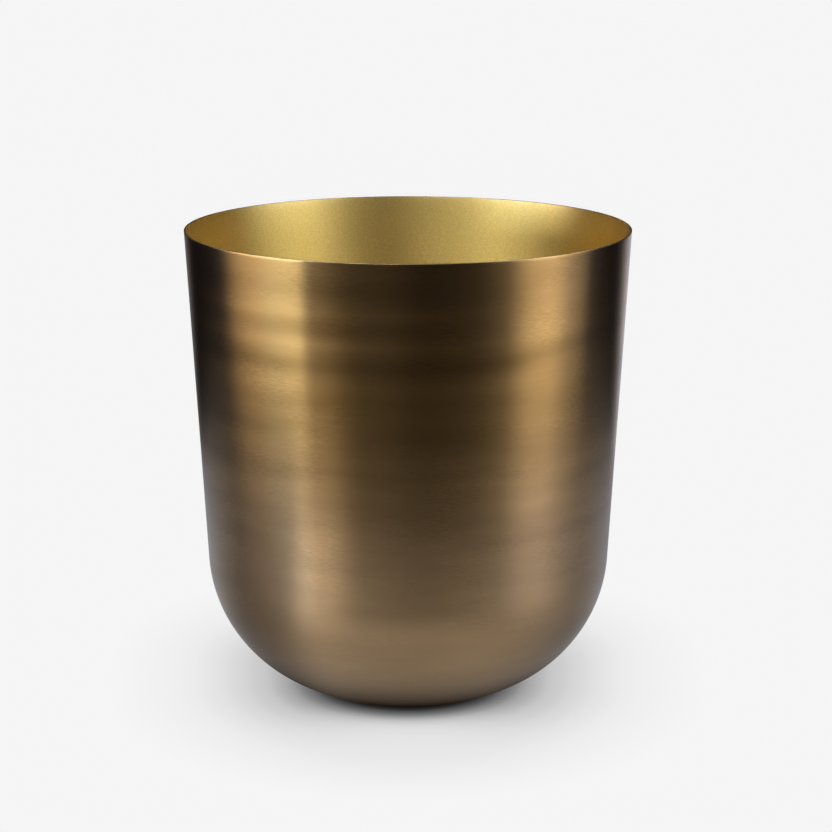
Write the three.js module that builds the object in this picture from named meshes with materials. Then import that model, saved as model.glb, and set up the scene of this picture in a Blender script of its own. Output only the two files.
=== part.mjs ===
// Brass planter pot: a shell spun from one disc of sheet, standing on four self-adhesive felt pads.
// Millimetres, +Z up. The origin is on the floor, under the middle of the pot.
import * as THREE from 'three';

// Driving dimensions
const RIM_DIAMETER = 300; // outside, at the trimmed edge
const OVERALL_HEIGHT = 322.5; // floor to rim
const SHEET = 1; // thickness of the spun sheet
const WALL_LEAN = 3; // degrees that the straight wall leans out from upright
const RIM_EDGE_BREAK = 0.25; // corner taken off each side of the trimmed edge

// Outer radii of the rounded bottom, and the slope in degrees at which each arc hands over to the next
const FOOT_RADIUS = 12; // turns the flat base up into the belly
const FOOT_SLOPE = 20;
const BELLY_RADIUS = 188; // shallow stretch above the foot
const BELLY_SLOPE = 28.4;
const SHOULDER_RADIUS = 97; // large rounded corner up to the wall

const PAD_DIAMETER = 20;
const PAD_THICKNESS = 2.5;
const PAD_COUNT = 4;
const PAD_RING_RADIUS = 42; // axis of the pot to the middle of a pad

// Facets
const SHELL_SEGMENTS = 72; // round the shell
const PAD_SEGMENTS = 24; // round a pad
const STEPS = { foot: 2, belly: 2, shoulder: 12 }; // along each arc of the outline

const rad = THREE.MathUtils.degToRad;
const WALL_SLOPE = 90 - WALL_LEAN;
const RIM_RADIUS = RIM_DIAMETER / 2;
const BASE_Z = PAD_THICKNESS; // underside of the shell

const ARCS = [
  { radius: FOOT_RADIUS, from: 0, to: FOOT_SLOPE, steps: STEPS.foot },
  { radius: BELLY_RADIUS, from: FOOT_SLOPE, to: BELLY_SLOPE, steps: STEPS.belly },
  { radius: SHOULDER_RADIUS, from: BELLY_SLOPE, to: WALL_SLOPE, steps: STEPS.shoulder },
];

// How far one arc of the outline travels outwards and upwards
const arcRun = ({ radius, from, to }) => radius * (Math.sin(rad(to)) - Math.sin(rad(from)));
const arcRise = ({ radius, from, to }) => radius * (Math.cos(rad(from)) - Math.cos(rad(to)));

// The flat base is what the wall and the arcs leave of the rim's radius
function baseRadius() {
  const run = ARCS.reduce((sum, arc) => sum + arcRun(arc), 0);
  const rise = ARCS.reduce((sum, arc) => sum + arcRise(arc), 0);
  const wallHeight = OVERALL_HEIGHT - BASE_Z - rise;
  return RIM_RADIUS - wallHeight * Math.tan(rad(WALL_LEAN)) - run;
}

// One face of the sheet, from the axis to the top of the last arc, set in from the outer face by inset
function bottomOutline(inset) {
  let radius = baseRadius();
  let height = BASE_Z;
  const points = [new THREE.Vector2(0, BASE_Z + inset), new THREE.Vector2(radius, BASE_Z + inset)];
  for (const arc of ARCS) {
    const centreR = radius - arc.radius * Math.sin(rad(arc.from));
    const centreZ = height + arc.radius * Math.cos(rad(arc.from));
    for (let i = 1; i <= arc.steps; i++) {
      const slope = rad(arc.from + ((arc.to - arc.from) * i) / arc.steps);
      const reach = arc.radius - inset;
      points.push(new THREE.Vector2(centreR + reach * Math.sin(slope), centreZ - reach * Math.cos(slope)));
    }
    radius += arcRun(arc);
    height += arcRise(arc);
  }
  return points;
}

// The trimmed edge, level on top, with both corners broken
function rimOutline() {
  const innerRadius = RIM_RADIUS - SHEET / Math.cos(rad(WALL_LEAN));
  const lean = RIM_EDGE_BREAK * Math.tan(rad(WALL_LEAN));
  return [
    new THREE.Vector2(RIM_RADIUS - lean, OVERALL_HEIGHT - RIM_EDGE_BREAK),
    new THREE.Vector2(RIM_RADIUS - lean - RIM_EDGE_BREAK, OVERALL_HEIGHT),
    new THREE.Vector2(innerRadius - lean + RIM_EDGE_BREAK, OVERALL_HEIGHT),
    new THREE.Vector2(innerRadius - lean, OVERALL_HEIGHT - RIM_EDGE_BREAK),
  ];
}

function potShell() {
  const outline = [...bottomOutline(0), ...rimOutline(), ...bottomOutline(SHEET).reverse()];
  const geometry = new THREE.LatheGeometry(outline, SHELL_SEGMENTS).rotateX(Math.PI / 2);
  const brass = new THREE.MeshStandardMaterial({ color: 0x8a6a3c, roughness: 0.35, metalness: 1 });
  const shell = new THREE.Mesh(geometry, brass);
  shell.name = 'pot_shell';
  return shell;
}

function feltPad(index) {
  const radius = PAD_DIAMETER / 2;
  const geometry = new THREE.CylinderGeometry(radius, radius, PAD_THICKNESS, PAD_SEGMENTS);
  const felt = new THREE.MeshStandardMaterial({ color: 0x2b2724, roughness: 0.95, metalness: 0 });
  const pad = new THREE.Mesh(geometry.rotateX(Math.PI / 2), felt);
  const angle = ((index + 0.5) * 2 * Math.PI) / PAD_COUNT;
  pad.name = `felt_pad_${index + 1}`;
  pad.position.set(PAD_RING_RADIUS * Math.cos(angle), PAD_RING_RADIUS * Math.sin(angle), PAD_THICKNESS / 2);
  return pad;
}

const group = new THREE.Group();
group.add(potShell());
for (let i = 0; i < PAD_COUNT; i++) {
  group.add(feltPad(i));
}
export default group;
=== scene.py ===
"""Looks of the brass planter pot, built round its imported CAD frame. Metres, +Z up, the front faces -Y."""
import math

import bpy
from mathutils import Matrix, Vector, noise


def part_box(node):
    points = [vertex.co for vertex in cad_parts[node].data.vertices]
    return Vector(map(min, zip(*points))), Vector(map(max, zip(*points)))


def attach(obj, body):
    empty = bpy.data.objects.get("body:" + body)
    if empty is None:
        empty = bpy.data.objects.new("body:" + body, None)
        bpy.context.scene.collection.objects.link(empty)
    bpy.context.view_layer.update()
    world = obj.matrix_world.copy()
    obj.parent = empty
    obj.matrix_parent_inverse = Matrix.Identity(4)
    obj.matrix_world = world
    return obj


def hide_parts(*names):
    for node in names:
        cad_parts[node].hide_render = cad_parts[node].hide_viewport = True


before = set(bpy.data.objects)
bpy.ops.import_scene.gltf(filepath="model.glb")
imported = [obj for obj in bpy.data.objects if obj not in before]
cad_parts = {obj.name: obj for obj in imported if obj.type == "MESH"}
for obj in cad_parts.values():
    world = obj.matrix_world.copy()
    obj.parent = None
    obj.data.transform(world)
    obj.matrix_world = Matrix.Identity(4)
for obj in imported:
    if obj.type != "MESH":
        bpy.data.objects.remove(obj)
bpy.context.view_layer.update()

MM = 0.001

# The shell's own dimensions, the same as the CAD part's
SHEET = 1.0 * MM
WALL_LEAN = math.radians(3)
ARCS = (  # outer radius, slope where it starts, slope where it ends, going up from the flat base
    (12 * MM, math.radians(0), math.radians(20)),
    (188 * MM, math.radians(20), math.radians(28.4)),
    (97 * MM, math.radians(28.4), math.radians(87)),
)
SHELL_LOW, SHELL_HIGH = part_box("pot_shell")
PAD_NAMES = [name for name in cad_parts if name.startswith("felt_pad")]
RIM_RADIUS = SHELL_HIGH.x
RIM_Z = SHELL_HIGH.z
BASE_Z = SHELL_LOW.z

# Mesh fineness of the shell
SEGMENTS = 288
OUTER_STEP = 1.75 * MM
INNER_STEP = 5.0 * MM
RIM_FILLET = 0.32 * MM
RIM_FILLET_STEPS = 4
AXIS_RADIUS = 1e-9  # a row that is narrower than this is one point on the axis

# Felt pads: soft corner, fuzzy side
PAD_SEGMENTS = 96
PAD_SOFTNESS = 0.6 * MM
PAD_CORNER_STEPS = 5
PAD_FUZZ = 0.12 * MM
PAD_FUZZ_SIZE = 0.7 * MM

# Painted bands along the roller's marks, copying the bands of light that the ripples throw in the highlights:
# height and half height in mm, and how much lighter the patina is there, left and right
PAINTED_ROLLER_BANDS = (
    (305, 7.5, -0.20, -0.13),
    (289.5, 4.5, 0.25, -0.03),
    (279.5, 3.5, -0.06, 0.0),
    (269.5, 4.5, 0.26, 0.11),
    (256, 5.5, -0.30, -0.20),
    (242, 6.0, 0.19, 0.12),
    (213, 6.0, -0.17, -0.04),
    (187, 5.0, -0.10, -0.05),
    (173, 6.0, 0.12, 0.12),
)
MARKS_TURN = (0.0, 0.55)  # shares of the rim's radius, to the right, between which left turns into right
MARKS_CLIMB_TURN = (0.15, 0.9)  # and between which the marks climb
MARKS_CLIMB = 11 * MM
MARKS_PATCHES = 12  # per metre
MARKS_PATCHINESS = 0.9
MARKS_SHIFT = 5  # sets the patches of each mark apart from the next one's

# Ripples that the roller left in the outer face. Each noise has its features per radian round the pot, its
# features per metre along the face, and a shift that sets it apart from the others
BROAD_RIPPLES = (1.6, 13, (0, 0))
BAND_RIPPLES = (0.8, 88, (7, 0))
FINE_RIPPLES = (0.7, 260, (0, -3))
BAND_PATCHES = (1.3, 22, (0, 4))
BROAD_DEPTH = 0.11 * MM
BAND_DEPTH = 0.034 * MM
FINE_DEPTH = 0.004 * MM
BAND_PATCH_EDGE = (-0.25, 0.45)  # of the patches' noise
BAND_PATCH_REST = 0.35  # share of the bands' depth that is left between their patches
BANDS_RISE = (120 * MM, 270 * MM)  # heights between which the bands get deeper
BANDS_LOW = 0.3  # share of BAND_DEPTH below those heights, and 1 more above them
RIPPLES_START = (55 * MM, 100 * MM)  # distances along the face between which all ripples come in
RIPPLES_STOP = 8 * MM  # distance below the rim's fillet over which they fade out

# Turning rings on the flat base, inside and out
RINGS_PITCH = 2 * math.pi / (1.6 * MM)  # radians per metre
RINGS_DEPTH = 3.0  # against the brushing
RINGS_END = (60 * MM, 48 * MM)  # distances from the middle of the base between which they come in


# ---------------------------------------------------------------- outline of the shell

def arc_run(arc):
    radius, start, end = arc
    return radius * (math.sin(end) - math.sin(start))


def arc_rise(arc):
    radius, start, end = arc
    return radius * (math.cos(start) - math.cos(end))


ARCS_RISE = sum(arc_rise(arc) for arc in ARCS)
WALL_HEIGHT = RIM_Z - BASE_Z - ARCS_RISE
BASE_RADIUS = RIM_RADIUS - WALL_HEIGHT * math.tan(WALL_LEAN) - sum(arc_run(arc) for arc in ARCS)


def base_rows(inset, step):
    """Rows (radius, height, slope, distance along the face) of the flat base, from its middle out."""
    count = max(2, round(BASE_RADIUS / step))
    radii = [BASE_RADIUS * i / count for i in range(count + 1)]
    return [(radius, BASE_Z + inset, 0.0, radius) for radius in radii]


def face_rows(inset, step):
    """Rows (radius, height, slope, distance along the face) from the base's middle to the rim's fillet."""
    rows = base_rows(inset, step)
    along = BASE_RADIUS
    low_r, low_z = BASE_RADIUS, BASE_Z
    for arc in ARCS:
        radius, start, end = arc
        centre_r = low_r - radius * math.sin(start)
        centre_z = low_z + radius * math.cos(start)
        reach = radius - inset
        length = radius * (end - start)
        count = max(2, round(length / step))
        for i in range(1, count + 1):
            slope = start + (end - start) * i / count
            rows.append((centre_r + reach * math.sin(slope), centre_z - reach * math.cos(slope),
                         slope, along + length * i / count))
        along += length
        low_r += arc_run(arc)
        low_z += arc_rise(arc)
    top_z = RIM_Z - RIM_FILLET
    length = (top_z - low_z) / math.cos(WALL_LEAN)
    count = round(length / step)
    foot_r, foot_z, slope, _ = rows[-1]
    for i in range(1, count + 1):
        height = foot_z + (top_z - foot_z) * i / count
        radius = foot_r + (height - foot_z) * math.tan(WALL_LEAN)
        rows.append((radius, height, slope, along + length * i / count))
    return rows


def rim_rows(outer_r, inner_r, along):
    """The trimmed edge: two small fillets with a narrow flat between them."""
    rows = []
    for i in range(1, RIM_FILLET_STEPS + 1):
        turn = math.pi / 2 * i / RIM_FILLET_STEPS
        rows.append((outer_r - RIM_FILLET * (1 - math.cos(turn)), RIM_Z - RIM_FILLET * (1 - math.sin(turn)),
                     turn + math.pi / 2, along))
    for i in range(RIM_FILLET_STEPS):
        turn = math.pi / 2 * i / RIM_FILLET_STEPS
        rows.append((inner_r + RIM_FILLET * (1 - math.sin(turn)), RIM_Z - RIM_FILLET * (1 - math.cos(turn)),
                     turn + math.pi, along))
    return rows


def smooth_step(low, high, value):
    t = min(1.0, max(0.0, (value - low) / (high - low)))
    return t * t * (3 - 2 * t)


def painted_band_tone(place):
    """How much the painted bands along the roller's marks lighten the patina; they copy the bands of light in
    the highlights. They climb a little from the left to the right side.
    """
    across = place.x / RIM_RADIUS
    rightness = smooth_step(*MARKS_TURN, across)
    height = place.z - MARKS_CLIMB * smooth_step(*MARKS_CLIMB_TURN, across)
    tone = 0.0
    for i, (centre, spread, left, right) in enumerate(PAINTED_ROLLER_BANDS):
        patch = noise.noise(Vector((MARKS_PATCHES * place.x, MARKS_PATCHES * place.y, MARKS_SHIFT * i)))
        lightness = left + (right - left) * rightness
        nearness = math.exp(-((height - centre * MM) / (spread * MM)) ** 2)
        tone += (1 + MARKS_PATCHINESS * patch) * lightness * nearness
    return tone


def face_noise(angle, along, around_count, along_count, shift):
    """Noise from -1 to 1 on the outer face, with no seam where the angle comes round."""
    return noise.noise(Vector((around_count * math.cos(angle) + shift[0],
                               around_count * math.sin(angle) + shift[1],
                               along_count * along)))


def ripple(angle, along, top):
    """How far the roller left the outer face above or below its true line, in metres."""
    height = RIM_Z - (top - along) * math.cos(WALL_LEAN)
    patch = smooth_step(*BAND_PATCH_EDGE, face_noise(angle, along, *BAND_PATCHES))
    band_depth = BAND_DEPTH * (BANDS_LOW + smooth_step(*BANDS_RISE, height))
    band_depth *= BAND_PATCH_REST + (1 - BAND_PATCH_REST) * patch
    offset = BROAD_DEPTH * face_noise(angle, along, *BROAD_RIPPLES)
    offset += band_depth * face_noise(angle, along, *BAND_RIPPLES)
    offset += FINE_DEPTH * face_noise(angle, along, *FINE_RIPPLES)
    fade = smooth_step(*RIPPLES_START, along) * smooth_step(0, RIPPLES_STOP, top - along)
    return offset * fade


# ---------------------------------------------------------------- meshes

def spin_mesh(name, rows):
    """Spins rows (radius, height, slope, distance along the face, offset function or None) round +Z into one
    closed mesh with smooth faces. Its attribute spin holds each point's cosine, sine and distance along."""
    vertices, faces, coordinates, row_start = [], [], [], []
    for radius, height, slope, along, moved in rows:
        row_start.append(len(vertices))
        count = 1 if radius < AXIS_RADIUS else SEGMENTS
        for k in range(count):
            angle = 2 * math.pi * k / SEGMENTS
            offset = moved(angle, along) if moved else 0.0
            r = radius + offset * math.sin(slope)
            z = height - offset * math.cos(slope)
            vertices.append((r * math.cos(angle), r * math.sin(angle), z))
            coordinates.extend((math.cos(angle), math.sin(angle), along))
    for i in range(len(rows) - 1):
        a, b = row_start[i], row_start[i + 1]
        starts_on_axis = rows[i][0] < AXIS_RADIUS
        ends_on_axis = rows[i + 1][0] < AXIS_RADIUS
        for k in range(SEGMENTS):
            n = (k + 1) % SEGMENTS
            if starts_on_axis:
                faces.append((a, b + n, b + k))
            elif ends_on_axis:
                faces.append((a + k, a + n, b))
            else:
                faces.append((a + k, a + n, b + n, b + k))
    mesh = bpy.data.meshes.new(name)
    mesh.from_pydata(vertices, [], faces)
    mesh.attributes.new("spin", "FLOAT_VECTOR", "POINT").data.foreach_set("vector", coordinates)
    mesh.polygons.foreach_set("use_smooth", [True] * len(mesh.polygons))
    mesh.update()
    return mesh


def add_object(name, mesh):
    piece = bpy.data.objects.new(name, mesh)
    bpy.context.scene.collection.objects.link(piece)
    return piece


def make_shell(outside, edge, inside):
    """The spun sheet: rippled outer face, trimmed edge and plain inner face, each with its own material."""
    outer = face_rows(0.0, OUTER_STEP)
    inner = face_rows(SHEET, INNER_STEP)
    top = outer[-1][3]
    rim = rim_rows(outer[-1][0], inner[-1][0], top)
    rows = [(*row, lambda angle, along: ripple(angle, along, top)) for row in outer]
    rows += [(*row, None) for row in rim]
    rows += [(*row, None) for row in reversed(inner)]
    mesh = spin_mesh("spun_shell", rows)
    # painted bands of light along the roller's marks, kept per point
    tones = [painted_band_tone(vertex.co) for vertex in mesh.vertices]
    mesh.attributes.new("tone", "FLOAT", "POINT").data.foreach_set("value", tones)
    for material in (outside, edge, inside):
        mesh.materials.append(material)
    edge_start = (len(outer) - 1) * SEGMENTS
    edge_end = edge_start + (len(rim) + 1) * SEGMENTS
    for i, polygon in enumerate(mesh.polygons):  # 0 outside, 1 edge, 2 inside
        polygon.material_index = int(i >= edge_start) + int(i >= edge_end)
    shell = add_object("spun_shell", mesh)
    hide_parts("pot_shell")
    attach(shell, "root")


def pad_outline(radius, low_z, high_z):
    """Points (radius, height) of a pad, from the middle of its underside round its soft edges and on top."""
    points = [(0.0, low_z)]
    for corner_z, first_turn in ((low_z + PAD_SOFTNESS, -90), (high_z - PAD_SOFTNESS, 0)):
        for i in range(PAD_CORNER_STEPS + 1):
            turn = math.radians(first_turn + 90 * i / PAD_CORNER_STEPS)
            points.append((radius - PAD_SOFTNESS * (1 - math.cos(turn)),
                           corner_z + PAD_SOFTNESS * math.sin(turn)))
    points.append((0.0, high_z))
    return points


def make_pad(name, material):
    """One round felt pad with soft edges and a fuzzy side, in its place in the CAD frame."""
    low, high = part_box(name)
    centre = (low + high) / 2
    outline = pad_outline((high.x - low.x) / 2, low.z, high.z)
    vertices, faces = [], []
    for r, z in outline:
        for k in range(PAD_SEGMENTS):
            angle = 2 * math.pi * k / PAD_SEGMENTS
            place = Vector((r * math.cos(angle), r * math.sin(angle), z))
            fuzz = PAD_FUZZ * noise.noise(place / PAD_FUZZ_SIZE)
            reach = max(0.0, r - abs(fuzz))
            vertices.append((centre.x + reach * math.cos(angle), centre.y + reach * math.sin(angle), z))
    for i in range(len(outline) - 1):
        a, b = i * PAD_SEGMENTS, (i + 1) * PAD_SEGMENTS
        for k in range(PAD_SEGMENTS):
            n = (k + 1) % PAD_SEGMENTS
            faces.append((a + k, a + n, b + n, b + k))
    mesh = bpy.data.meshes.new(name + "_soft")
    mesh.from_pydata(vertices, [], faces)
    mesh.polygons.foreach_set("use_smooth", [True] * len(mesh.polygons))
    mesh.materials.append(material)
    pad = add_object(name + "_soft", mesh)
    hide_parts(name)
    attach(pad, "root")


# ---------------------------------------------------------------- shader nodes

def new_material(name):
    """A material, its node tree and its Principled shader."""
    material = bpy.data.materials.new(name)
    material.use_nodes = True
    return material, material.node_tree, material.node_tree.nodes["Principled BSDF"]


def feed(tree, socket, value):
    """Links another socket to this one, or sets its colour or its number."""
    if isinstance(value, bpy.types.NodeSocket):
        tree.links.new(value, socket)
    elif isinstance(value, tuple):
        socket.default_value = (*value, 1)
    else:
        socket.default_value = value


def attribute(tree, name, output):
    node = tree.nodes.new("ShaderNodeAttribute")
    node.attribute_name = name
    return node.outputs[output]


def along_face(tree):
    """Distance along the face from the middle of the base, in metres."""
    parts = tree.nodes.new("ShaderNodeSeparateXYZ")
    tree.links.new(attribute(tree, "spin", "Vector"), parts.inputs["Vector"])
    return parts.outputs["Z"]


def spin_noise(tree, around, along, detail=2.0, shift=0.0):
    """Noise stretched round the pot: around is its features per radian, and along its features per metre."""
    mapping = tree.nodes.new("ShaderNodeMapping")
    mapping.inputs["Scale"].default_value = (around, around, along)
    mapping.inputs["Location"].default_value = (shift, 0, 0)
    texture = tree.nodes.new("ShaderNodeTexNoise")
    texture.inputs["Scale"].default_value = 1.0
    texture.inputs["Detail"].default_value = detail
    tree.links.new(attribute(tree, "spin", "Vector"), mapping.inputs["Vector"])
    tree.links.new(mapping.outputs["Vector"], texture.inputs["Vector"])
    return texture.outputs["Fac"]


def map_range(tree, value, start, end, low, high):
    node = tree.nodes.new("ShaderNodeMapRange")
    for name, number in (("From Min", start), ("From Max", end), ("To Min", low), ("To Max", high)):
        node.inputs[name].default_value = number
    tree.links.new(value, node.inputs["Value"])
    return node


def remap(tree, value, low, high, start=0.3, end=0.7):
    """A straight step from low, where value is at start, to high, where it is at end. The usual start and end
    are those of a noise, which seldom passes them."""
    return map_range(tree, value, start, end, low, high).outputs["Result"]


def smooth(tree, value, start, end, low=0.0, high=1.0):
    """A soft step from low, where value is at start, to high, where it is at end."""
    node = map_range(tree, value, start, end, low, high)
    node.interpolation_type = "SMOOTHSTEP"
    return node.outputs["Result"]


def math_node(tree, operation, *values):
    node = tree.nodes.new("ShaderNodeMath")
    node.operation = operation
    for value, socket in zip(values, node.inputs):
        feed(tree, socket, value)
    return node.outputs["Value"]


def mix(tree, factor, a, b, data_type="FLOAT"):
    """From a, where factor is 0, to b, where it is 1."""
    node = tree.nodes.new("ShaderNodeMix")
    node.data_type = data_type
    for name, value in (("Factor", factor), ("A", a), ("B", b)):
        feed(tree, node.inputs[name], value)
    return node.outputs["Result"]


def mix_color(tree, factor, a, b):
    return mix(tree, factor, a, b, "RGBA")


def give_light(tree, node, color, strength):
    """Sets or links the colour and the strength of an Emission or a Background node."""
    feed(tree, node.inputs["Color"], color)
    feed(tree, node.inputs["Strength"], strength)


def mix_shaders(tree, factor, a, b, output):
    """Shows shader a where factor is 0, and shader b where it is 1."""
    node = tree.nodes.new("ShaderNodeMixShader")
    for value, socket in zip((factor, a, b), node.inputs):
        tree.links.new(value, socket)
    tree.links.new(node.outputs["Shader"], tree.nodes[output].inputs["Surface"])


def brush_round(tree, shader, amount):
    """Highlights stretch across the brushing, which runs round the pot."""
    tangent = tree.nodes.new("ShaderNodeTangent")
    tangent.direction_type = "RADIAL"
    tangent.axis = "Z"
    tree.links.new(tangent.outputs["Tangent"], shader.inputs["Tangent"])
    shader.inputs["Anisotropic"].default_value = amount
    shader.inputs["Anisotropic Rotation"].default_value = 0.25


def lacquer(shader, roughness, ior):
    """Clear satin lacquer over the metal."""
    shader.inputs["Coat Weight"].default_value = 1.0
    shader.inputs["Coat Roughness"].default_value = roughness
    shader.inputs["Coat IOR"].default_value = ior


def turned_base(tree, height):
    """Adds fine turning rings on the flat base to a bump height."""
    along = along_face(tree)
    depth = smooth(tree, along, *RINGS_END, 0.0, RINGS_DEPTH)
    rings = math_node(tree, "SINE", math_node(tree, "MULTIPLY", along, RINGS_PITCH))
    return math_node(tree, "MULTIPLY_ADD", rings, depth, height)


def bump(tree, shader, height, distance):
    node = tree.nodes.new("ShaderNodeBump")
    node.inputs["Strength"].default_value = 1.0
    node.inputs["Distance"].default_value = distance
    tree.links.new(height, node.inputs["Height"])
    tree.links.new(node.outputs["Normal"], shader.inputs["Normal"])


# ---------------------------------------------------------------- materials

# Patina where it is dark and where it is rubbed light, on the upper and on the lower wall
DARK_UPPER, DARK_LOWER = (0.272, 0.153, 0.036), (0.277, 0.180, 0.086)
LIGHT_UPPER, LIGHT_LOWER = (0.565, 0.342, 0.113), (0.53, 0.356, 0.184)
PATINA_GRAYER = (345 * MM, 200 * MM)  # distances along the face between which it turns grayer on the way down
PATINA_PLAINER = (270 * MM, 150 * MM)  # and between which it turns plainer
PATINA_LIGHTNESS = 0.5  # halfway from dark to light, before the marks, clouds and streaks
PATINA_CLOUDS = 0.22
PATINA_STREAKS = 0.22
STREAK_PATCH_EDGE = (0.42, 0.6)  # of the noise that makes the streaks' patches
STREAK_PATCH_REST = 0.1  # share of the streaks that is left between their patches
LOWER_CLOUDS, LOWER_STREAKS = 0.5, 0.35  # shares of them that are left on the lower wall

GOLD_DARK, GOLD_LIGHT = (0.80, 0.585, 0.150), (0.95, 0.710, 0.202)
EDGE_DARK, EDGE_LIGHT = (0.50, 0.34, 0.13), (0.78, 0.57, 0.25)
FELT_DARK, FELT_LIGHT = (0.014, 0.012, 0.010), (0.045, 0.038, 0.032)
FELT_FIBRES = 1800  # per metre


def patina_lightness(tree, patina, brushing):
    """How light the patina is: painted bands of light along the roller's marks, and soft rubbed clouds and
    streaks that come in patches.
    """
    plainer = smooth(tree, along_face(tree), *PATINA_PLAINER)
    clouds = math_node(tree, "MULTIPLY", remap(tree, patina, -PATINA_CLOUDS, PATINA_CLOUDS),
                       mix(tree, plainer, 1.0, LOWER_CLOUDS))
    patches = spin_noise(tree, around=3.0, along=30, shift=11.0)
    patches = remap(tree, patches, STREAK_PATCH_REST, 1.0, *STREAK_PATCH_EDGE)
    patches = math_node(tree, "MULTIPLY", patches, mix(tree, plainer, 1.0, LOWER_STREAKS))
    streaks = math_node(tree, "MULTIPLY", remap(tree, brushing, -PATINA_STREAKS, PATINA_STREAKS), patches)
    # the tone is the painted bands of light along the roller's marks
    lightness = math_node(tree, "ADD", attribute(tree, "tone", "Fac"), PATINA_LIGHTNESS)
    lightness = math_node(tree, "ADD", lightness, clouds)
    return math_node(tree, "ADD", lightness, streaks)


def antiqued_brass():
    """Dark rubbed patina over brass, brushed round the pot. It is grayer and plainer lower down."""
    material, tree, shader = new_material("antiqued_brass")
    patina = spin_noise(tree, around=1.3, along=45, detail=3.0)
    brushing = spin_noise(tree, around=30, along=2500, shift=5.0)
    grayer = smooth(tree, along_face(tree), *PATINA_GRAYER)
    dark = mix_color(tree, grayer, DARK_UPPER, DARK_LOWER)
    light = mix_color(tree, grayer, LIGHT_UPPER, LIGHT_LOWER)
    color = mix_color(tree, patina_lightness(tree, patina, brushing), dark, light)
    feed(tree, shader.inputs["Base Color"], color)
    worn = math_node(tree, "MULTIPLY", patina, brushing)
    feed(tree, shader.inputs["Roughness"], remap(tree, worn, 0.335, 0.285, start=0.1, end=0.4))
    shader.inputs["Metallic"].default_value = 1.0
    lacquer(shader, roughness=0.37, ior=1.36)
    brush_round(tree, shader, amount=0.87)
    bump(tree, shader, turned_base(tree, brushing), distance=0.009 * MM)
    return material


def satin_gold():
    """The inside: clean brass with a fine satin grain."""
    material, tree, shader = new_material("satin_gold")
    mottle = spin_noise(tree, around=1.5, along=12, shift=2.0)
    grain = spin_noise(tree, around=110, along=1400, shift=9.0)
    feed(tree, shader.inputs["Base Color"], mix_color(tree, remap(tree, grain, 0, 1), GOLD_DARK, GOLD_LIGHT))
    feed(tree, shader.inputs["Roughness"], remap(tree, mottle, 0.52, 0.46))
    shader.inputs["Metallic"].default_value = 1.0
    lacquer(shader, roughness=0.38, ior=1.65)
    brush_round(tree, shader, amount=0.72)
    bump(tree, shader, turned_base(tree, grain), distance=0.018 * MM)
    return material


def worn_edge():
    """Bare brass where the patina is rubbed off the trimmed rim."""
    material, tree, shader = new_material("worn_edge")
    wear = spin_noise(tree, around=30, along=0, detail=3.0, shift=1.0)
    feed(tree, shader.inputs["Base Color"], mix_color(tree, remap(tree, wear, 0, 1), EDGE_DARK, EDGE_LIGHT))
    feed(tree, shader.inputs["Roughness"], remap(tree, wear, 0.48, 0.34))
    shader.inputs["Metallic"].default_value = 1.0
    return material


def felt():
    """Near-black wool felt with fine fibres."""
    material, tree, shader = new_material("felt")
    texture = tree.nodes.new("ShaderNodeTexNoise")
    texture.inputs["Scale"].default_value = FELT_FIBRES
    texture.inputs["Detail"].default_value = 4
    coordinates = tree.nodes.new("ShaderNodeTexCoord")
    tree.links.new(coordinates.outputs["Object"], texture.inputs["Vector"])
    fibres = texture.outputs["Fac"]
    feed(tree, shader.inputs["Base Color"], mix_color(tree, remap(tree, fibres, 0, 1), FELT_DARK, FELT_LIGHT))
    feed(tree, shader.inputs["Roughness"], remap(tree, fibres, 0.98, 0.88))
    bump(tree, shader, fibres, distance=0.2 * MM)
    return material


# ---------------------------------------------------------------- studio

CAMERA_DISTANCE = 1.5
CAMERA_ELEVATION = math.radians(14.71)
CAMERA_PITCH = math.radians(13.63)
CAMERA_YAW = math.radians(-0.212)
CAMERA_LENS = 94.09
CAMERA_SENSOR = 36
CAMERA_REACH = 200

FLOOR_SIZE = 60.0
FLOOR_RADIANCE = 0.931
CONTRAST = 0.8  # display gamma of the picture

# How bright the floor is at some distances from the pot's axis, as a share of its open brightness
SHADE_IN_FRONT = (
    (0.054, 0.02), (0.0615, 0.117), (0.0713, 0.362), (0.0785, 0.613), (0.088, 0.79), (0.105, 0.87),
    (0.150, 0.92), (0.210, 1.0),
)
SHADE_AT_SIDES = (
    (0.056, 0.02), (0.068, 0.18), (0.080, 0.41), (0.096, 0.635), (0.112, 0.75), (0.128, 0.84),
    (0.150, 0.93), (0.210, 1.0),
)
SHADE_SIDE_TURN = (0.1, 1.1)  # radians from the front between which one turns into the other
SHADE_BEHIND = 1.2  # how much further it reaches behind the pot than at its sides
SHADE_BEHIND_TURN = (1.5, 2.4)  # and the radians between which it comes to reach further

# What the metal mirrors of the floor. Azimuths are in degrees from the front, positive to the right, and
# distances are from the pot's axis. Close to the pot: azimuth, brightness
NEAR_LIGHT = (
    (-180, 0.50), (-130, 0.54), (-100, 0.38), (-83, 0.31), (-74, 0.31), (-65, 0.33), (-52, 0.47), (-38, 0.70),
    (-20, 0.75), (0, 0.74), (28, 0.73), (45, 0.61), (62, 0.49), (75, 0.43), (92, 0.39), (125, 0.50),
    (180, 0.52),
)
NEAR_END = (0.16, 0.42)  # distances between which it turns into the table's
PAINTED_CONTACT_SHADOW = (0.066, 0.140)  # distances between which the painted shadow in the gap under the pot fades out
# Further out it is a table: azimuth, brightness
TABLE_LIGHT = (
    (-180, 0.46), (-130, 0.55), (-105, 0.50), (-82, 0.22), (-68, 0.16), (-58, 0.36), (-49, 1.6), (-38, 1.9),
    (-27, 1.35), (-15, 1.0), (0, 0.86), (25, 0.84), (45, 0.80), (65, 0.88), (88, 0.68), (120, 0.56),
    (150, 0.46), (180, 0.46),
)
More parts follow.
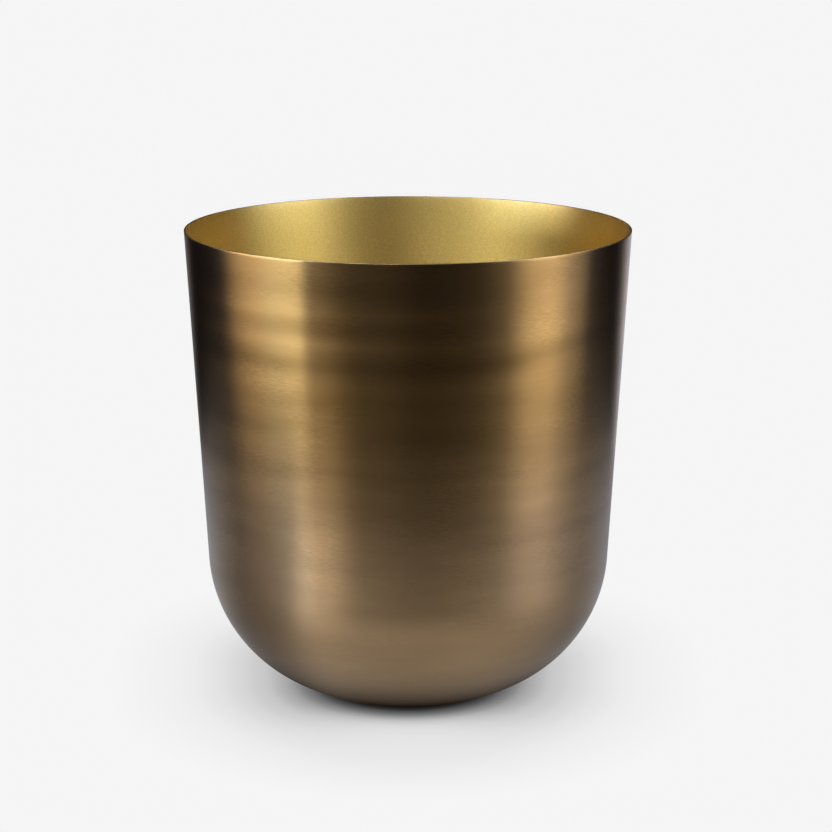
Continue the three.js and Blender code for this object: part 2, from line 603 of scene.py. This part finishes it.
# and azimuth, how far it reaches as a share of its reach in front
TABLE_REACH = (
    (-180, 1.65), (-75, 1.62), (-54, 1.6), (-38, 1.42), (-25, 1.08), (-12, 1.0), (15, 1.0), (36, 1.2),
    (55, 1.6), (180, 1.68),
)
TABLE_END = (0.33, 0.49)  # distances in front between which it ends
TABLE_NEAR_COLOR = (0.94, 1.0, 1.13)
TABLE_FRONT_COLOR = (1.0, 0.97, 0.88)
TABLE_SIDE_COLOR = (0.95, 1.0, 1.13)
TABLE_COLOR_TURN = (0.20, 0.55)  # distances between which the near colour ends
TABLE_FRONT_TURN = (math.radians(15), math.radians(60))  # azimuths between which the front's colour ends
# Behind it stands a pale backdrop, brighter on the right
BACKDROP_LEFT, BACKDROP_RIGHT = 0.35, 0.85
BACKDROP_EDGE_LEFT = (math.radians(-142), math.radians(-162))
BACKDROP_EDGE_RIGHT = (math.radians(132), math.radians(158))
MIRRORED_RADIUS = 4
MIRRORED_SEGMENTS = 128
MIRRORED_LIFT = 0.4 * MM

# The rest of the room is dark and warm
ROOM_COLOR, ROOM_LIGHT = (1.0, 0.62, 0.22), 0.014

# Soft lights that only metal mirrors: name, colour, azimuths of the two ends, heights of the lower edge at
# the two ends, height of the upper edge, brightness at even steps from end to end
LOW_PANEL_COLOR, HIGH_PANEL_COLOR = (0.86, 1.03, 1.42), (0.89, 1.02, 1.5)
BACK_PANEL_COLOR, RIGHT_PANEL_COLOR = (0.97, 1.0, 1.2), (0.92, 1.01, 1.33)
PANELS = (
    ("left_panel_back", BACK_PANEL_COLOR, (-98, -76), (0.33, 0.225), 0.45, (10.2, 11.8, 10.2)),
    ("left_panel", LOW_PANEL_COLOR, (-76, -51), (0.21, 0.11), 0.46, (10.4, 9.5, 8.6)),
    ("left_panel_high", HIGH_PANEL_COLOR, (-100, -40), (0.6, 0.6), 2.2, (0.5, 2.0, 3.9)),
    ("right_panel", RIGHT_PANEL_COLOR, (49, 98), (0.05, 0.05), 0.45, (0.3, 3.7, 4.6, 1.9, 0.8)),
    ("right_panel_high", HIGH_PANEL_COLOR, (42, 106), (0.6, 0.6), 2.2, (2.8, 2.9, 2.9, 1.3)),
    ("front_panel_high", HIGH_PANEL_COLOR, (-40, 46), (1.5, 1.5), 3.0, (6.2, 10.0, 0.3, 0.4, 4.2)),
)
PANEL_DISTANCE = 1.3
PANEL_STEPS = 24


def make_camera():
    data = bpy.data.cameras.new("camera")
    data.lens = CAMERA_LENS
    data.sensor_width = CAMERA_SENSOR
    data.clip_end = CAMERA_REACH
    camera = bpy.data.objects.new("camera", data)
    middle = (BASE_Z + RIM_Z) / 2
    camera.location = (0, -CAMERA_DISTANCE * math.cos(CAMERA_ELEVATION),
                       middle + CAMERA_DISTANCE * math.sin(CAMERA_ELEVATION))
    camera.rotation_euler = (math.pi / 2 - CAMERA_PITCH, 0, CAMERA_YAW)
    bpy.context.scene.collection.objects.link(camera)
    bpy.context.scene.camera = camera


def only_in_reflections(thing):
    thing.visible_camera = False
    thing.visible_diffuse = False
    thing.visible_transmission = False
    thing.visible_volume_scatter = False
    thing.visible_shadow = False


def emission_material(name):
    """A material with only an Emission shader, its node tree and that shader."""
    material, tree, shader = new_material(name)
    tree.nodes.remove(shader)
    emission = tree.nodes.new("ShaderNodeEmission")
    tree.links.new(emission.outputs["Emission"], tree.nodes["Material Output"].inputs["Surface"])
    return material, tree, emission


def floor_place(tree):
    """Distance from the pot's axis and azimuth from the front in radians, positive to the right."""
    place = tree.nodes.new("ShaderNodeTexCoord").outputs["Object"]
    length = tree.nodes.new("ShaderNodeVectorMath")
    length.operation = "LENGTH"
    tree.links.new(place, length.inputs[0])
    split = tree.nodes.new("ShaderNodeSeparateXYZ")
    tree.links.new(place, split.inputs["Vector"])
    forward = math_node(tree, "MULTIPLY", split.outputs["Y"], -1.0)
    return length.outputs["Value"], math_node(tree, "ARCTAN2", split.outputs["X"], forward)


def curve_through(tree, place, stops):
    """A smooth curve through stops (place, value), whose places rise. A colour ramp cuts off what is above 1,
    so it holds shares of the last place and of the highest value."""
    ramp = tree.nodes.new("ShaderNodeValToRGB")
    ramp.color_ramp.interpolation = "CARDINAL"
    last = stops[-1][0]
    peak = max(value for stop, value in stops)
    tree.links.new(math_node(tree, "DIVIDE", place, last), ramp.inputs["Fac"])
    elements = ramp.color_ramp.elements
    while len(elements) < len(stops):
        elements.new(0.5)
    for element, (stop, value) in zip(elements, stops):
        element.position = stop / last
        element.color = (value / peak, value / peak, value / peak, 1)
    return math_node(tree, "MULTIPLY", ramp.outputs["Color"], peak)


def curve_round(tree, azimuth, stops):
    """A smooth curve through stops (degrees from -180 to 180, value), at an azimuth in radians."""
    turn = remap(tree, azimuth, 0, 1, start=-math.pi, end=math.pi)
    return curve_through(tree, turn, [((degrees + 180) / 360, value) for degrees, value in stops])


def floor_shade(tree, distance, aside):
    """The soft shadow painted round the pot: the light comes from in front and above, so it is narrower
    there.
    """
    front = curve_through(tree, distance, SHADE_IN_FRONT)
    reach = smooth(tree, aside, *SHADE_BEHIND_TURN, 1.0, SHADE_BEHIND)
    sides = curve_through(tree, math_node(tree, "DIVIDE", distance, reach), SHADE_AT_SIDES)
    return mix(tree, smooth(tree, aside, *SHADE_SIDE_TURN), front, sides)


def make_floor():
    """Pale even floor, seen from above only, with a painted shadow where the pot stands over it."""
    bpy.ops.mesh.primitive_plane_add(size=FLOOR_SIZE)
    floor = bpy.context.object
    floor.name = "floor"
    material, tree, emission = emission_material("floor")
    distance, azimuth = floor_place(tree)
    aside = math_node(tree, "ABSOLUTE", azimuth)
    give_light(tree, emission, floor_shade(tree, distance, aside), FLOOR_RADIANCE)
    below = tree.nodes.new("ShaderNodeNewGeometry").outputs["Backfacing"]
    clear = tree.nodes.new("ShaderNodeBsdfTransparent")
    mix_shaders(tree, below, emission.outputs["Emission"], clear.outputs["BSDF"], "Material Output")
    floor.data.materials.append(material)
    floor.visible_glossy = False


def mirrored_light(tree, distance, azimuth):
    """Brightness of the table round the pot, of the backdrop behind it, and of the painted shadow in the gap
    under the pot.
    """
    near = curve_round(tree, azimuth, NEAR_LIGHT)
    table = curve_round(tree, azimuth, TABLE_LIGHT)
    light = mix(tree, smooth(tree, distance, *NEAR_END), near, table)
    reached = math_node(tree, "DIVIDE", distance, curve_round(tree, azimuth, TABLE_REACH))
    light = math_node(tree, "MULTIPLY", light, smooth(tree, reached, *TABLE_END, 1.0, 0.0))
    left = smooth(tree, azimuth, *BACKDROP_EDGE_LEFT, 0.0, BACKDROP_LEFT)
    right = smooth(tree, azimuth, *BACKDROP_EDGE_RIGHT, 0.0, BACKDROP_RIGHT)
    backdrop = math_node(tree, "ADD", left, right)
    light = math_node(tree, "MULTIPLY_ADD", backdrop, smooth(tree, reached, *TABLE_END), light)
    return math_node(tree, "MULTIPLY", light, smooth(tree, distance, *PAINTED_CONTACT_SHADOW))


def mirrored_color(tree, distance, aside):
    """Colour of the table: cool close to the pot and at the sides, warm further out in front."""
    far = mix_color(tree, smooth(tree, aside, *TABLE_FRONT_TURN), TABLE_FRONT_COLOR, TABLE_SIDE_COLOR)
    return mix_color(tree, smooth(tree, distance, *TABLE_COLOR_TURN), TABLE_NEAR_COLOR, far)


def make_mirrored_floor():
    """What the metal sees of the floor: a lit table round the pot, dark beyond it, a pale backdrop behind."""
    bpy.ops.mesh.primitive_circle_add(vertices=MIRRORED_SEGMENTS, radius=MIRRORED_RADIUS, fill_type="NGON",
                                      location=(0, 0, MIRRORED_LIFT))
    mirrored = bpy.context.object
    mirrored.name = "mirrored_floor"
    material, tree, emission = emission_material("mirrored_floor")
    distance, azimuth = floor_place(tree)
    aside = math_node(tree, "ABSOLUTE", azimuth)
    light = mirrored_light(tree, distance, azimuth)
    give_light(tree, emission, mirrored_color(tree, distance, aside), light)
    room = tree.nodes.new("ShaderNodeEmission")
    give_light(tree, room, ROOM_COLOR, ROOM_LIGHT)
    both = tree.nodes.new("ShaderNodeAddShader")
    tree.links.new(emission.outputs["Emission"], both.inputs[0])
    tree.links.new(room.outputs["Emission"], both.inputs[1])
    tree.links.new(both.outputs["Shader"], tree.nodes["Material Output"].inputs["Surface"])
    mirrored.data.materials.append(material)
    only_in_reflections(mirrored)


def between(values, share):
    """The value at a share of the way through evenly spaced values."""
    part = share * (len(values) - 1)
    first = min(int(part), len(values) - 2)
    return values[first] + (values[first + 1] - values[first]) * (part - first)


def make_panel(name, color, ends, bottoms, top, strengths):
    """A soft light that only metal sees, curved round the pot's axis."""
    vertices, faces, brightness = [], [], []
    for i in range(PANEL_STEPS + 1):
        share = i / PANEL_STEPS
        azimuth = math.radians(between(ends, share))
        for z in (between(bottoms, share), top):
            vertices.append((PANEL_DISTANCE * math.sin(azimuth), -PANEL_DISTANCE * math.cos(azimuth), z))
            brightness.append(between(strengths, share))
        if i:
            faces.append((2 * i - 2, 2 * i, 2 * i + 1, 2 * i - 1))
    mesh = bpy.data.meshes.new(name)
    mesh.from_pydata(vertices, [], faces)
    mesh.attributes.new("brightness", "FLOAT", "POINT").data.foreach_set("value", brightness)
    material, tree, emission = emission_material(name)
    give_light(tree, emission, color, attribute(tree, "brightness", "Fac"))
    mesh.materials.append(material)
    only_in_reflections(add_object(name, mesh))


def make_world():
    """Even pale light on everything that isn't metal; metal mirrors a dark room."""
    world = bpy.data.worlds.new("studio")
    world.use_nodes = True
    bpy.context.scene.world = world
    tree = world.node_tree
    pale = tree.nodes["Background"]
    give_light(tree, pale, (1, 1, 1), FLOOR_RADIANCE)
    dark = tree.nodes.new("ShaderNodeBackground")
    give_light(tree, dark, ROOM_COLOR, ROOM_LIGHT)
    mirrored = tree.nodes.new("ShaderNodeLightPath").outputs["Is Glossy Ray"]
    mix_shaders(tree, mirrored, pale.outputs["Background"], dark.outputs["Background"], "World Output")


def make_studio():
    make_world()
    make_floor()
    make_mirrored_floor()
    for panel in PANELS:
        make_panel(*panel)
    make_camera()
    bpy.context.scene.view_settings.view_transform = "Standard"
    bpy.context.scene.view_settings.gamma = CONTRAST


# ---------------------------------------------------------------- the pot

make_shell(antiqued_brass(), worn_edge(), satin_gold())
felt_material = felt()
for name in PAD_NAMES:
    make_pad(name, felt_material)
make_studio()
